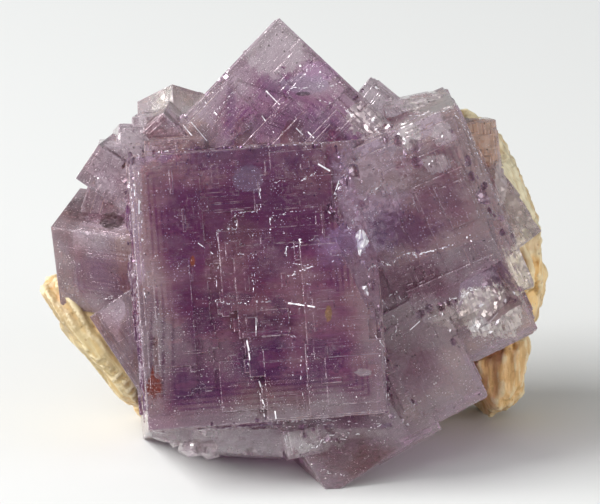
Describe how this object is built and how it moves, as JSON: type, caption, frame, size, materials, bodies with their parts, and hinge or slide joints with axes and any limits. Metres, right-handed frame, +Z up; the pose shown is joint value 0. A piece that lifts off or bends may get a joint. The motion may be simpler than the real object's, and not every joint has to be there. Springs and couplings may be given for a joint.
{
  "type": "fluorite and baryte specimen",
  "caption": "Hand-sized mineral specimen: stepped purple fluorite cubes grown together on ribbed cream baryte blades, resting on its lowest corner and its baryte.",
  "frame": {"origin": "on the surface that the specimen rests on, under the middle of its bounding box", "axes": "+Z up from the resting surface, +X to the right as seen from the front, +Y from the front crystal faces back to the baryte"},
  "size_m": [0.0648, 0.0462, 0.0537],
  "materials": {
    "fluorite": "clear to cloudy mauve-purple crystal, faces bright but finely stepped",
    "baryte": "opaque cream to tan crystal, satin on the flat of each blade and matt on the broken rims"
  },
  "bodies": {
    "root": {"fluorite": "fluorite", "baryte": "baryte"}
  },
  "joints": []
}
